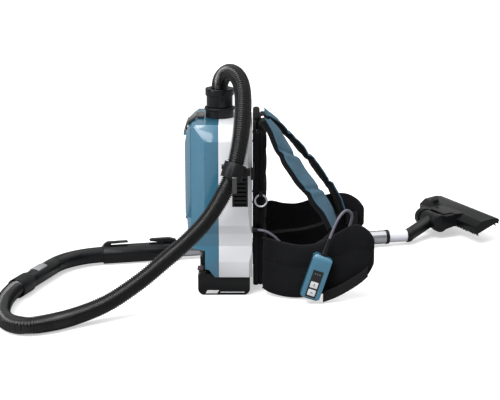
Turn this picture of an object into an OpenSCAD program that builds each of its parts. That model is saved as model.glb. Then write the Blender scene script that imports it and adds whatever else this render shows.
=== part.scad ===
// Backpack vacuum cleaner: powered body on a padded harness, hose, wand and floor nozzle.
// Frame: +Z up, +X from the dust door towards the wearer's back, -Y is the hose side.
// The origin is on the floor, under the middle of the base foot.

/* [Body] */
// Width across the body, along Y
body_w = 230; // [220:1:240]
// Distance from the origin to the dust door's face
body_front = 88; // [84:1:92]
// Distance from the origin to the face behind the harness
body_back = 61; // [58:1:61]
// Height of the body's lower rim
body_low = 43; // [40:1:46]
// Height of the body's flat top
body_top = 385; // [380:1:390]
// Wall thickness of the moulded shells
wall = 3; // [2.5:0.5:3.5]

/* [Battery] */
// Width of one battery pack
pack_w = 72; // [66:1:72]
// Distance between the two packs' centre planes
pack_pitch = 146; // [146:1:148]

/* [Hose and wand] */
// Outer radius of the hose
hose_r = 19; // [17:0.5:19]
// Outer radius of the metal tube
tube_r = 17; // [16:0.5:17.5]
// Height of the wand's axis above the floor
wand_z = 23.5; // [23:0.5:26]
// Turn of the wand on the floor, in degrees
wand_yaw = 12.8; // [11:0.1:14]

/* [Nozzle] */
// Length of the floor head
head_l = 264; // [240:1:280]
// Upward tilt of the floor head, in degrees
head_tilt = 22; // [16:1:24]

/* [Harness] */
// Width of a shoulder strap
strap_w = 66; // [60:1:72]
// Thickness of a padded strap
strap_t = 14; // [12:1:18]
// Thickness of a hip wing
wing_t = 18; // [14:1:20]

/* [Hidden] */
$fn = 64;

// Finish colours
c_blue = [0.20, 0.46, 0.56];
c_white = [0.84, 0.84, 0.86];
c_black = [0.06, 0.06, 0.07];
c_dark = [0.15, 0.15, 0.16];
c_grey = [0.45, 0.45, 0.47];
c_metal = [0.75, 0.76, 0.78];
c_pad = [0.08, 0.08, 0.09];

// Body
half_w = body_w / 2;
seam_x = -13;
door_x = -74;
shelf_top = 175.4;
shelf_t = 5;
door_low = 177;
neck_x = -12;
bulkhead_x = 13;
deck_z = 170;
bay_z = 64;
motor_x = 8;
inlet_x = -7;
inlet_r = 18;
vent = [17, 51.5, 205, 290];

// Dust door hinge and latch
hinge_x = -83;
hinge_z = 172;
hinge_r = 4.5;
pin_r = 2;
run_gap = 0.05;
latch_x = -89.5;
latch_z = 352;
latch_r = 3;
ear_y0 = 26;
ear_y1 = 31;

// Packs
pack_x0 = -60;
pack_x1 = 56;
pack_z0 = 1;
pack_case_top = 50;
cell_r = 10.6;
cell_pitch = 21.4;

// Neck and cuff
spigot_r = 20;
collar_r = 31.5;
collar_z = 402;
flange_z = 408;
cuff_z = 409;
ring_z = 434;
cuff_top = 450;

// Moulded body outline, seen along Y, drawn t inside the true outline
function side_outline(t) = [
    [-44 + t, body_low + t], [body_back - t, body_low + t], [body_back - t, 374 - t],
    [50 - t, body_top - t], [-62 + t, body_top - t], [-82 + t, 370 - t],
    [-body_front + t, 340], [-body_front + t, 180], [-84.5 + t, 173], [-82.5 + t, 146],
    [-72 + t, 106 + t], [-44 + t, 102 + t]];
// How far each side draws in from the full width, and the height where it does
side_inset = [[2, body_low], [2, 78], [12, 112], [9, 141], [3, 161], [0, 201], [0, 350], [15, body_top]];
function side_point(i, t) = [half_w - side_inset[i][0] - t,
    min(max(side_inset[i][1], body_low + t), body_top - t)];
function front_outline(t) = concat(
    [for (i = [0:len(side_inset) - 1]) side_point(i, t)],
    [for (i = [len(side_inset) - 1:-1:0]) [-side_point(i, t)[0], side_point(i, t)[1]]]);
// Plan outline with chamfered corners
function plan_outline(t) = [
    [body_back - t, -half_w + 9 + t], [body_back - t, half_w - 9 - t], [body_back - 9 - t, half_w - t],
    [-44 + t, half_w - t], [door_x + t, half_w - 17 - t], [-body_front + t, half_w - 45 - t],
    [-body_front + t, -half_w + 45 + t], [door_x + t, -half_w + 17 + t], [-44 + t, -half_w + t],
    [body_back - 9 - t, -half_w + t]];

module along_y(length) {
    rotate([90, 0, 0])
        linear_extrude(length, center = true) children();
}

module along_x(length) {
    rotate([90, 0, 90])
        linear_extrude(length, center = true) children();
}

module block(x0, x1, y0, y1, z0, z1) {
    translate([x0, y0, z0])
        cube([x1 - x0, y1 - y0, z1 - z0]);
}

module rod_y(x, z, r, y0, y1) {
    translate([x, y1, z])
        rotate([90, 0, 0])
            cylinder(r = r, h = y1 - y0);
}

module rod_x(y, z, r, x0, x1) {
    translate([x0, y, z])
        rotate([0, 90, 0])
            cylinder(r = r, h = x1 - x0);
}

module both_sides() {
    children();
    mirror([0, 1, 0])
        children();
}

module body_solid(t) {
    intersection() {
        along_y(2 * body_w)
            polygon(side_outline(t));
        along_x(3 * body_w)
            polygon(front_outline(t));
        linear_extrude(2 * body_top)
            polygon(plan_outline(t));
    }
}

// Shell left open below, where the packs slide in
module body_shell() {
    difference() {
        body_solid(0);
        body_solid(wall);
        block(-44 + wall, body_back - wall, -half_w + 5, half_w - 5, 0, body_low + 10);
        translate([neck_x, 0, body_top - 20])
            cylinder(r = 24, h = 40);
        both_sides()
            block(-60, 0, -pack_pitch / 2 - pack_w / 2 - 1, -pack_pitch / 2 + pack_w / 2 + 1, 0, bay_z);
        block(-60, 0, -34, 34, 0, bay_z);
    }
}

module rear_housing() {
    color(c_white)
        difference() {
            body_shell();
            block(-200, seam_x, -200, 200, 0, 500);
            both_sides()
                block(vent[0], vent[1], -120, -100, vent[2], vent[3]);
            for (y = [-50, 50])
                for (z = [200, 340])
                    screw_hole(y, z, 2.5);
        }
}

module screw_hole(y, z, r) {
    rod_x(y, z, r, body_back - 20, body_back + 20);
}

module front_housing() {
    color(c_blue)
        difference() {
            union() {
                difference() {
                    union() {
                        body_shell();
                        intersection() {
                            body_solid(1);
                            block(-body_front, seam_x, -200, 200, shelf_top - shelf_t, shelf_top);
                        }
                    }
                    block(seam_x, 200, -200, 200, 0, 500);
                    block(-200, door_x, -200, 200, shelf_top, 500);
                    inlet_hole(deck_z - 10);
                    both_sides()
                        rod_y(hinge_x, hinge_z, 9.5, 38.5, 59);
                }
                both_sides() {
                    rod_y(hinge_x, hinge_z, hinge_r, 59, 76);
                    block(hinge_x, door_x - 2, 59, 76, hinge_z - 1.4, shelf_top - 0.4);
                }
            }
            both_sides()
                rod_y(hinge_x, hinge_z, pin_r, 30, 90);
            along_y(2 * body_w)
                polygon([[-60, 30], [-22, 30], [-22, body_low], [-35, 60], [-60, 64]]);
            intersection() {
                body_solid(wall);
                block(-200, seam_x + 1, -200, 200, deck_z - 10, shelf_top - shelf_t);
            }
        }
}

// Floor, bulkhead and battery rails inside the shells
module chassis() {
    color(c_dark) {
        difference() {
            intersection() {
                body_solid(wall + 0.3);
                union() {
                    block(seam_x + 0.2, 100, -200, 200, deck_z, deck_z + 6);
                    block(bulkhead_x, bulkhead_x + 3, -200, 200, deck_z, body_top - 20);
                    block(-40, 100, -200, 200, bay_z, bay_z + 3);
                }
            }
            inlet_hole(deck_z - 10);
            both_sides()
                block(24, 50, 60, 95, deck_z - 1, deck_z + 7);
        }
        both_sides()
            for (side = [-1, 1])
                translate([0, -pack_pitch / 2, 0])
                    rail(side);
    }
}

module inlet_hole(z) {
    translate([inlet_x, 0, z])
        cylinder(r = inlet_r, h = 30);
}

module rail(side) {
    y0 = side > 0 ? 27 : -31;
    lip = side > 0 ? 23 : -31;
    block(-40, 50, y0, y0 + 4, 52, bay_z);
    block(-40, 50, lip, lip + 8, 52, 55);
}

module dust_door() {
    color(c_blue)
        difference() {
            union() {
                difference() {
                    intersection() {
                        body_solid(0);
                        block(-200, door_x - 0.6, -200, 200, door_low, 500);
                    }
                    intersection() {
                        body_solid(wall);
                        block(-200, 0, -200, 200, door_low + wall, 500);
                    }
                }
                both_sides() {
                    rod_y(hinge_x, hinge_z, hinge_r, 40, 58);
                    block(hinge_x - hinge_r, hinge_x + hinge_r, 40, 58, hinge_z, door_low + 0.5);
                    latch_ear();
                }
            }
            both_sides()
                rod_y(hinge_x, hinge_z, pin_r + run_gap, 30, 90);
        }
    // The latch turns on a rod moulded between the door's ears
    color(c_blue)
        rod_y(latch_x, latch_z, pin_r, -ear_y1 + 1, ear_y1 - 1);
}

module latch_ear() {
    rod_y(latch_x, latch_z, latch_r, ear_y0, ear_y1);
    block(latch_x, latch_x + 2 * latch_r, ear_y0, ear_y1, latch_z - latch_r, latch_z + latch_r);
}

// Seal bead along the door's two uprights
module door_seal() {
    color(c_black)
        both_sides()
            block(door_x - 0.6, door_x - 0.1, 90, 94, door_low + 12, 340);
}

module hinge_pins() {
    color(c_metal)
        both_sides()
            rod_y(hinge_x, hinge_z, pin_r, 39, 76);
}

module door_latch() {
    color(c_grey)
        difference() {
            union() {
                rod_y(latch_x, latch_z, latch_r, 0.5 - ear_y0, ear_y0 - 0.5);
                along_y(2 * ear_y0 - 1)
                    polygon([[latch_x - 2.9, latch_z + 0.4], [latch_x + 2.9, latch_z + 0.4],
                        [-84, 368], [-79.5, 375], [-63, 387], [-46, 387], [-46, 389.5], [-48, 391.5],
                        [-64, 391.5], [-84, 378], [-89, 366]]);
            }
            rod_y(latch_x, latch_z, pin_r + run_gap, -40, 40);
        }
}

module vent_grilles() {
    slots = 9;
    pitch = (vent[3] - vent[2]) / slots;
    color(c_black)
        both_sides()
            difference() {
                block(vent[0], vent[1], -half_w, -half_w + wall, vent[2], vent[3]);
                for (i = [0:slots - 1])
                    block(vent[0] + 4, vent[1] - 4, -half_w - 1, -half_w + wall + 1,
                        vent[2] + (i + 0.3) * pitch, vent[2] + (i + 0.7) * pitch);
            }
}

module neck_collar() {
    color(c_dark)
        translate([neck_x, 0, 0])
            difference() {
                union() {
                    translate([0, 0, 372])
                        cylinder(r = 24, h = 14);
                    translate([0, 0, body_top])
                        cylinder(r = collar_r, h = collar_z - body_top);
                    translate([0, 0, collar_z])
                        cylinder(r = 34, h = flange_z - collar_z);
                }
                translate([0, 0, 370])
                    cylinder(r = spigot_r, h = 50);
            }
}

module bag_collar() {
    color([0.75, 0.68, 0.52])
        difference() {
            block(-50, 12, -45, 45, 369, 372);
            translate([neck_x, 0, 360])
                cylinder(r = spigot_r, h = 20);
        }
}

module dust_bag() {
    color([0.86, 0.84, 0.78])
        block(-68, 12, -92, 92, 190, 369);
}

module pre_filter() {
    color([0.8, 0.8, 0.8])
        translate([inlet_x, 0, deck_z + 6])
            cylinder(r = inlet_r + 1.5, h = 12);
}

module motor_housing() {
    color(c_dark)
        translate([motor_x, 0, bay_z + 3])
            difference() {
                cylinder(r = 40, h = deck_z - bay_z - 3);
                translate([0, 0, 3])
                    cylinder(r = 37, h = deck_z - bay_z - 9);
                translate([inlet_x - motor_x, 0, 20])
                    cylinder(r = inlet_r, h = 100);
                both_sides()
                    block(-9, 9, 30, 50, 58, 84);
            }
}

module motor() {
    color(c_grey)
        translate([motor_x, 0, 70])
            difference() {
                cylinder(r = 30, h = 48);
                translate([0, 0, -1])
                    cylinder(r = 12, h = 60);
            }
}

module motor_bearings() {
    color(c_metal)
        translate([motor_x, 0, 0])
            for (z = [76, 112])
                translate([0, 0, z])
                    difference() {
                        cylinder(r = 12, h = 6);
                        translate([0, 0, -1])
                            cylinder(r = 4 + run_gap, h = 8);
                    }
}

module motor_shaft() {
    color(c_metal)
        translate([motor_x, 0, 73])
            cylinder(r = 4, h = 83);
}

module impeller() {
    blades = 9;
    color(c_grey)
        translate([motor_x, 0, 124])
            difference() {
                union() {
                    cylinder(r = 34, h = 2);
                    cylinder(r = 8, h = 30);
                    for (i = [0:blades - 1])
                        rotate([0, 0, i * 360 / blades])
                            translate([16, 0, 1])
                                rotate([0, 0, 35])
                                    translate([-8, -0.8, 0])
                                        cube([20, 1.6, 24]);
                    translate([0, 0, 24])
                        difference() {
                            cylinder(r = 34, h = 2);
                            translate([0, 0, -1])
                                cylinder(r = 16, h = 4);
                        }
                }
                translate([0, 0, -1])
                    cylinder(r = 4, h = 40);
            }
}

module exhaust_filters() {
    color([0.88, 0.88, 0.86])
        both_sides()
            block(18, 48, -111, -96, 200, 296);
}

module control_board() {
    color([0.1, 0.35, 0.2])
        union() {
            block(bulkhead_x + 3, 18, -60, 60, 200, 320);
            block(18, 33, -20, 10, 230, 260);
            block(18, 27, 24, 44, 270, 300);
        }
}

// Central foot between the packs, which carries the body on the floor
module base_foot() {
    color(c_dark)
        difference() {
            block(-54, 56, -33, 33, 0, bay_z);
            block(-50, 52, -29, 29, 4, bay_z + 1);
        }
}

module pack_outline() {
    r = 14;
    union() {
        translate([pack_x0 + r, pack_z0 + r])
            circle(r);
        translate([pack_x1 - r, pack_z0 + r])
            circle(r);
        translate([pack_x0 + r, pack_z0])
            square([pack_x1 - pack_x0 - 2 * r, r]);
        polygon([[pack_x0, pack_z0 + r], [pack_x1, pack_z0 + r], [pack_x1, pack_case_top],
            [pack_x0 + 6, pack_case_top], [pack_x0, pack_case_top - 5]]);
    }
}

module battery(y) {
    color(c_black)
        translate([0, y, 0])
            difference() {
                union() {
                    along_y(pack_w)
                        pack_outline();
                    block(-44, 50, -22, 22, pack_case_top - 1, 57);
                    block(-44, 50, -26, 26, 56, 62);
                }
                block(pack_x0 + 4, pack_x1 - 4, -pack_w / 2 + 3, pack_w / 2 - 3, 16, 45);
                block(-58, -45, -14, 14, 44.5, 70);
            }
}

module cells(y) {
    color(c_grey)
        for (i = [-2:2])
            rod_y(-2 + i * cell_pitch, 27, cell_r, y - 32, y + 32);
}

module battery_button(y) {
    color([0.7, 0.45, 0.48])
        union() {
            block(-57.5, -48, y - 12, y + 12, 46, 55);
            block(-62, -56, y - 12, y + 12, 50.5, 55);
        }
}

module battery_left() {
    battery(-pack_pitch / 2);
}

module battery_right() {
    battery(pack_pitch / 2);
}

module cells_left() {
    cells(-pack_pitch / 2);
}

module cells_right() {
    cells(pack_pitch / 2);
}

module battery_button_left() {
    battery_button(-pack_pitch / 2);
}

module battery_button_right() {
    battery_button(pack_pitch / 2);
}

module hose_cuff() {
    color(c_black)
        translate([neck_x, 0, 0])
            difference() {
                union() {
                    translate([0, 0, 390])
                        cylinder(r = spigot_r - run_gap, h = 20);
                    translate([0, 0, cuff_z])
                        cylinder(r = 29.5, h = ring_z - cuff_z);
                    translate([0, 0, ring_z])
                        cylinder(r = 32, h = cuff_top - ring_z);
                }
                translate([0, 0, 380])
                    cylinder(r = 16, h = 80);
                translate([0, 0, cuff_top - 10])
                    cylinder(r = hose_r + 1.5, h = 20);
            }
}

// Free cords: hand-picked route points, smoothed into a swept tube
hose_route = [[-12, 0, 441.5], [-11.6, -0.4, 453], [-8, -6, 470], [2, -19, 485], [14.5, -38, 491],
    [27.5, -58, 486], [37, -76, 470], [41, -97, 442], [40, -121, 408], [36, -143, 370],
    [28.4, -159, 328], [17.4, -169, 288], [-5, -179, 243], [-36, -191, 196], [-77, -208, 155], [-125, -230, 117],
    [-180, -254, 76], [-245, -286, 40], [-310, -322, 23], [-360, -358, 21], [-405, -374, 21],
    [-440, -356, 21], [-463, -310, 21], [-472, -255, 21], [-473, -200, 22],
    [-466, -148, 23.5], [-459, -127, 23.5]];
cable_r = 3;
cable_route = [[72, -104, 150], [90, -108, 148], [108, -111, 138], [128, -114, 120],
    [160, -120, 104], [200, -125, 100], [235, -128, 108], [260, -130, 134], [274, -133, 166],
    [278, -140, 194], [264, -154, 207], [246, -166, 190], [228, -172, 148]];

// Catmull-Rom point at t of the way from point i to the next
function between(p, i, t) =
    let (a = p[max(i - 1, 0)], b = p[i], c = p[i + 1], d = p[min(i + 2, len(p) - 1)])
    0.5 * (2 * b + (c - a) * t + (2 * a - 5 * b + 4 * c - d) * t * t
        + (3 * b - a - 3 * c + d) * t * t * t);
function smooth(p, steps) = concat(
    [for (i = [0:len(p) - 2]) for (s = [0:steps - 1]) between(p, i, s / steps)],
    [p[len(p) - 1]]);
function unit(v) = v / norm(v);
function along(p, i) = unit(p[min(i + 1, len(p) - 1)] - p[max(i - 1, 0)]);

// Closed skin over rings that each hold n points
module skin(points, n) {
    rings = len(points) / n;
    sides = [for (i = [0:rings - 2]) for (k = [0:n - 1])
        for (f = [[i * n + k, i * n + (k + 1) % n, (i + 1) * n + (k + 1) % n],
            [i * n + k, (i + 1) * n + (k + 1) % n, (i + 1) * n + k]]) f];
    start = [for (k = [n - 1:-1:0]) k];
    end = [for (k = [0:n - 1]) (rings - 1) * n + k];
    polyhedron(points, concat(sides, [start, end]));
}

module cord(path, r, ref, sides) {
    skin([for (i = [0:len(path) - 1])
        let (t = along(path, i), n = unit(cross(t, ref)), b = cross(t, n))
        for (k = [0:sides - 1])
            path[i] + r * (cos(-k * 360 / sides) * n + sin(-k * 360 / sides) * b)], sides);
}

// Flat band: each station is [x, y, z, tilt]
module band(stations, w, t) {
    p = [for (s = stations) [s[0], s[1], s[2]]];
    skin([for (i = [0:len(p) - 1])
        let (d = along(p, i), n0 = unit(cross(d, [0, 1, 0])), w0 = cross(n0, d),
            a = stations[i][3], side = cos(a) * w0 + sin(a) * n0, out = cos(a) * n0 - sin(a) * w0)
        for (c = [[-1, -1], [-1, 1], [1, 1], [1, -1]])
            p[i] + c[0] * side * w / 2 + c[1] * out * t / 2], 4);
}

// Upright panel: each station is [x, y, low z, high z]
module panel(stations, t) {
    p = [for (s = stations) [s[0], s[1], 0]];
    skin([for (i = [0:len(p) - 1])
        let (d = along(p, i), n = [d[1], -d[0], 0])
        for (c = [[1, 2], [1, 3], [-1, 3], [-1, 2]])
            p[i] + c[0] * n * t / 2 + [0, 0, stations[i][c[1]]]], 4);
}

module strut(p, q, r) {
    d = q - p;
    translate(p)
        rotate([0, acos(d[2] / norm(d)), atan2(d[1], d[0])])
            cylinder(r = r, h = norm(d));
}

module vacuum_hose() {
    color(c_black)
        cord(smooth(hose_route, 2), hose_r, [1, 0.3, -1], 12);
}

module remote_cable() {
    color(c_grey)
        cord(smooth(cable_route, 2), cable_r, [0.3, -0.3, -1], 8);
}

// Ring that holds the hose against the harness
clip_at = [19.1, -167.6, 294];
module at_clip() {
    translate(clip_at)
        rotate([-12.5, 18, 0])
            children();
}

module hose_clip() {
    color(c_dark)
        union() {
            difference() {
                union() {
                    at_clip()
                        translate([0, 0, -13])
                            cylinder(r = 24, h = 34);
                    block(36, 57, -164, -156, 286, 302);
                    rod_x(-168, 308, 5, -5, 4);
                    for (x = [14, 28.5])
                        block(x, x + 3.5, -200, -186, 285, 293);
                }
                at_clip()
                    translate([0, 0, -30])
                        cylinder(r = 20.4, h = 60);
            }
            rod_x(-197, 289, 1.5, 16, 30);
        }
}

module clip_lever() {
    color(c_grey)
        difference() {
            union() {
                rod_x(-197, 289, 3, 18, 28);
                block(18, 28, -199, -196, 256, 289);
            }
            rod_x(-197, 289, 1.5 + run_gap, 12, 34);
        }
}

module clip_strap() {
    color(c_black)
        union() {
            block(63, 66, -160, -95.4, 276, 304);
            block(57, 63, -160, -156, 276, 304);
        }
}

module harness_frame() {
    color(c_dark)
        difference() {
            translate([66, 0, 0])
                along_x(8)
                    polygon([[-70, 60], [70, 60], [70, 300], [56, 384], [-56, 384], [-70, 300]]);
            for (y = [-50, 50])
                for (z = [200, 340])
                    screw_hole(y, z, 2.5);
            block(50, 90, -30, 30, 240, 320);
            block(50, 90, -30, 30, 110, 170);
        }
}

module harness_screws() {
    color(c_metal)
        for (y = [-50, 50])
            for (z = [200, 340])
                union() {
                    rod_x(y, z, 2.5, body_back - wall - 2, 70);
                    rod_x(y, z, 5, 70, 72.5);
                }
}

// Upper back cushion and the lumbar cushion below it
module back_pad() {
    color(c_pad)
        difference() {
            union() {
                block(63, 94, -95, 95, 152, 372);
                block(63, 94, -95, 95, 14, 148);
                block(76, 84, -103, -95, 222, 236);
            }
            block(60, 73, -71, 71, 50, 400);
            along_y(200)
                polygon([[80, 372.5], [94.5, 372.5], [94.5, 348]]);
            rod_x(-99, 228, 3.4, 70, 90);
        }
}

module side_ring() {
    color(c_metal)
        translate([80, -99, 215])
            rotate([90, 0, 0])
                rotate_extrude()
                    translate([13, 0])
                        circle(2.2, $fn = 24);
}

module carry_loop() {
    color(c_grey)
        translate([70, 0, 384])
            scale([1, 1, 0.75])
                rotate([90, 0, 90])
                    rotate_extrude(angle = 180)
                        translate([24, 0])
                            circle(8, $fn = 32);
}

strap_near = [[90, -52, 386, 0], [106, -60, 366, 8], [122, -74, 336, 14], [143, -88, 303, 16],
    [168, -97, 268, 16], [196, -104, 232, 16], [222, -108, 196, 14], [238, -110, 160, 10]];
strap_far = [[90, 52, 381, 0], [114, 60, 362, -6], [142, 74, 330, -8], [170, 86, 299, -8],
    [198, 96, 263, -8], [228, 103, 222, -8], [256, 105, 180, -8], [270, 104, 142, -6]];

module shoulder_strap_near() {
    color(c_blue)
        band(strap_near, strap_w, strap_t);
}

module shoulder_strap_far() {
    color(c_blue)
        band(strap_far, strap_w, strap_t);
}

// Hip wings start at the lumbar cushion's sides
wing_near = [[85, -105, 18, 132], [102, -121, 12, 132], [135, -137, 8, 128], [170, -143, 8, 124],
    [210, -146, 16, 132], [250, -149, 32, 155], [285, -150, 45, 173], [312, -148, 60, 160],
    [326, -144, 84, 138]];
wing_far = [[85, 105, 18, 146], [102, 121, 12, 158], [135, 137, 8, 148], [170, 143, 8, 146],
    [210, 146, 20, 158], [250, 149, 40, 168], [285, 150, 62, 168], [312, 148, 82, 154],
    [326, 144, 98, 136]];

module hip_wing_near() {
    color(c_pad)
        panel(wing_near, wing_t);
}

module hip_wing_far() {
    color(c_pad)
        panel(wing_far, wing_t);
}

// Strap adjusters inside the wings and the loose tail outside the near wing
module belt_webbing() {
    web_t = 2.5;
    web_w = 25;
    color(c_black) {
        band([[240, -104, 150, 0], [214, -100, 122, 0], [170, -96, 100, 0], [98, -92, 90, 0]],
            web_w, web_t);
        band([[270, 104, 132, 0], [230, 100, 112, 0], [180, 96, 98, 0], [98, 92, 90, 0]],
            web_w, web_t);
        panel([[314, -160, 58, 84], [298, -162, 44, 70], [272, -164, 27, 53], [244, -167, 13, 38],
            [216, -170, 4, 27]], web_t);
    }
}

module buckle_plug() {
    color(c_dark)
        union() {
            block(284, 302, -137, -131, 100, 128);
            block(302, 316, -136, -132, 110, 118);
            block(302, 312, -136, -132, 101, 105);
            block(302, 312, -136, -132, 123, 127);
        }
}

module buckle_socket() {
    color(c_dark)
        difference() {
            block(284, 312, 127.5, 137, 100, 130);
            block(292, 320, 129.5, 135, 103, 127);
        }
}

// Hand control clipped to the near hip wing
remote_at = [200, -172, 62];
remote_turn = 18;
remote_w = 43;
remote_l = 100;
remote_t = 26;
module at_remote() {
    translate(remote_at)
        rotate([0, remote_turn, 0])
            children();
}

module remote_shell() {
    w = remote_w / 2;
    l = remote_l / 2;
    t = remote_t / 2;
    color(c_blue)
        at_remote()
            difference() {
                union() {
                    intersection() {
                        along_y(remote_t)
                            polygon([[-w, -l + 6], [-w + 6, -l], [w - 6, -l], [w, -l + 6], [w, l - 3],
                                [w - 8, l], [-w + 6, l + 2], [-w, l - 4]]);
                        along_x(remote_w)
                            polygon([[-t, -l + 5], [-t + 5, -l], [t, -l], [t, l + 3], [-t + 8, l + 3],
                                [-t, l - 8]]);
                    }
                    block(-8, 8, t - 1, t + 2, -30, 30);
                }
                block(-w + 2.5, w - 2.5, -t + 2.5, t - 2.5, -l + 8, l - 12);
                block(-11.5, 11.5, -t - 1, -t + 3, -l + 6, 18);
            }
}

button_w = 17;
button_h = 14;
button_z = [-15, -33];
module remote_panel() {
    color(c_black)
        at_remote()
            difference() {
                block(-11.5, 11.5, -remote_t / 2 - 0.5, -remote_t / 2 + 2.5, -remote_l / 2 + 6, 18);
                for (z = button_z)
                    block(-button_w / 2 - 0.3, button_w / 2 + 0.3, -remote_t, remote_t,
                        z - button_h / 2 - 0.3, z + button_h / 2 + 0.3);
            }
}

module remote_button(z) {
    color(c_white)
        at_remote()
            block(-button_w / 2, button_w / 2, -remote_t / 2 - 2, -remote_t / 2 + 4,
                z - button_h / 2, z + button_h / 2);
}

module power_button() {
    remote_button(button_z[0]);
}

module mode_button() {
    remote_button(button_z[1]);
}

module strain_relief() {
    color(c_black)
        at_remote()
            translate([0, 0, remote_l / 2 + 1.5])
                cylinder(r1 = 7, r2 = 4, h = 38.5);
}

module cable_gland() {
    color(c_dark)
        union() {
            rod_x(-104, 150, 8, body_back, body_back + 4);
            rod_x(-104, 150, 5.5, body_back + 4, body_back + 10);
        }
}

// Wand, lying on the floor: local x runs from the handle to the nozzle
wand_at = [-310, 129.3, wand_z];
bend_r = 150;
bend_turn = 58.5;
bend_start = 15;
socket_end = 192;
tube_end = 730;
inner_start = 380;
inner_end = 778;
inner_r = 15;
inner_bore = 13.6;
grip_r = 19;
grip_l = 125;
module at_wand() {
    translate(wand_at)
        rotate([0, 0, wand_yaw])
            children();
}

// Local x runs from the end of the bend to the hose
module at_grip() {
    at_wand()
        translate([bend_start + bend_r * cos(90 + bend_turn), bend_r * (sin(90 + bend_turn) - 1), 0])
            rotate([0, 0, 180 + bend_turn])
                children();
}

module bend(r) {
    at_wand()
        translate([bend_start, -bend_r, 0])
            rotate([0, 0, 90])
                rotate_extrude(angle = bend_turn)
                    translate([bend_r, 0])
                        circle(r);
}

module bent_pipe() {
    color(c_black)
        difference() {
            union() {
                bend(grip_r);
                at_grip()
                    rod_x(0, 0, grip_r + 0.4, -1, grip_l);
                at_wand() {
                    rod_x(0, 0, 22.5, bend_start, socket_end);
                    along_y(14)
                        polygon([[bend_start - 6, 15], [bend_start + 4, 27], [bend_start + 11, 31],
                            [74, 31], [74, 28], [bend_start + 19, 27], [bend_start + 14, 21],
                            [bend_start + 16, 15]]);
                    for (y = [-12, 8.5])
                        block(150, 160, y, y + 3.5, 15, 30);
                }
            }
            bend(inner_r - 0.4);
            at_grip() {
                rod_x(0, 0, inner_r, -0.5, grip_l + 1);
                translate([70, 0, 10])
                    cylinder(r = 5, h = 20);
            }
            at_wand() {
                rod_x(0, 0, inner_r, bend_start - 0.5, 61);
                rod_x(0, 0, tube_r, 60, socket_end + 1);
                translate([155, 0, 27])
                    rotate([90, 0, 0])
                        cylinder(r = 2, h = 40, center = true);
            }
        }
}

module wand_swivel() {
    color(c_dark)
        at_grip()
            difference() {
                union() {
                    rod_x(0, 0, 22.5, grip_l + 0.5, grip_l + 55);
                    rod_x(0, 0, inner_r - run_gap, grip_l - 30, grip_l + 10);
                }
                rod_x(0, 0, 12.5, 0, 300);
                rod_x(0, 0, hose_r + 1.2, grip_l + 43, 300);
            }
}

module suction_slider() {
    color(c_grey)
        at_grip()
            intersection() {
                difference() {
                    rod_x(0, 0, 21.5, 48, 92);
                    rod_x(0, 0, grip_r + 0.5, 0, 200);
                }
                block(0, 200, -12, 12, 10, 30);
            }
}

// Rocking latch on the wand's socket, with its own pivot pin
module pipe_latch() {
    color(c_dark)
        at_wand()
            union() {
                along_y(16)
                    polygon([[127, 28], [131, 32], [175, 32], [191, 28], [191, 24], [178, 24],
                        [150, 24.5], [136, 27]]);
                translate([155, 0, 27])
                    rotate([90, 0, 0])
                        cylinder(r = 2 - run_gap, h = 23, center = true);
            }
}

module outer_tube() {
    color(c_metal)
        at_wand()
            difference() {
                rod_x(0, 0, tube_r, 61, tube_end);
                rod_x(0, 0, inner_r + run_gap, 50, tube_end + 1);
            }
}

module tube_collar() {
    color(c_black)
        at_wand()
            difference() {
                rod_x(0, 0, 18, tube_end - 8, tube_end);
                rod_x(0, 0, tube_r, tube_end - 20, tube_end + 1);
            }
}

module inner_tube() {
    color([0.9, 0.9, 0.92])
        at_wand()
            difference() {
                rod_x(0, 0, inner_r, inner_start, inner_end);
                rod_x(0, 0, inner_bore, inner_start - 1, inner_end + 1);
            }
}

// Floor nozzle: local y runs along its hinge barrel and x points to its front edge
elbow_x = inner_end + 4;
elbow_at = wand_at + elbow_x * [cos(wand_yaw), sin(wand_yaw), 0];
barrel_at = [522, 387, 42];
barrel_turn = 25.5;
barrel_r = 20;
barrel_half = 29;
fork_r = 22;
fork_out = 46;
module at_head(tilt) {
    translate(barrel_at)
        rotate([0, -tilt, barrel_turn])
            children();
}

module rod_in_head(r, y0, y1) {
    translate([0, y1, 0])
        rotate([90, 0, 0])
            cylinder(r = r, h = y1 - y0);
}

module nozzle_elbow() {
    color(c_black)
        difference() {
            union() {
                at_wand()
                    rod_x(0, 0, inner_bore - run_gap, inner_end - 40, inner_end + 4);
                difference() {
                    union() {
                        translate(elbow_at)
                            sphere(r = 17);
                        strut(elbow_at, barrel_at, 16);
                    }
                    at_wand()
                        block(600, inner_end + 0.4, -40, 40, -40, 40);
                }
                at_head(0)
                    rod_in_head(barrel_r, -barrel_half, barrel_half);
            }
            at_wand()
                rod_x(0, 0, 11, inner_end - 50, elbow_x + 2);
            strut(elbow_at, barrel_at, 10);
            at_head(0)
                rod_in_head(5 + run_gap, -60, 60);
        }
}

module head_cover() {
    along_y(head_l)
        polygon([[42, -27], [114, -27], [114, -23], [100, -15], [66, -6], [46, -12]]);
}

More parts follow.
